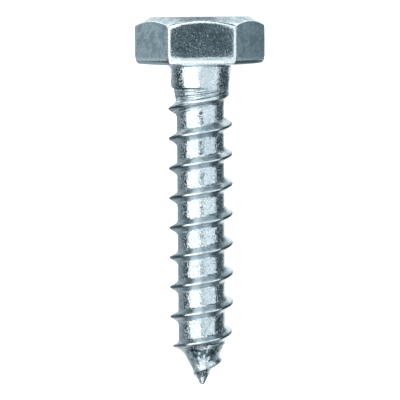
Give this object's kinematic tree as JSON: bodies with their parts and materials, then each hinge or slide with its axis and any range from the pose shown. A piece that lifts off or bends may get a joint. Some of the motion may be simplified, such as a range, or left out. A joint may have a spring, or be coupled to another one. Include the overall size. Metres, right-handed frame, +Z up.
{
  "type": "lag screw",
  "caption": "Hex-head lag screw lying at rest: chamfered hex head, tapered neck, coarse right-hand wood thread and gimlet point, zinc plated.",
  "frame": {"origin": "centre of the bearing face under the head, on the screw's axis", "axes": "+Y along the screw towards its head, +Z up from the floor that it lies on; the axis itself dips 5.42 degrees towards the point, as the screw rests"},
  "size_m": [0.0128, 0.0367, 0.0114],
  "materials": {
    "zinc_plated_steel": "bright blue-white zinc plating over rolled steel, fine scratches and small dents"
  },
  "bodies": {
    "root": {"lag_screw": "zinc_plated_steel"}
  },
  "joints": []
}
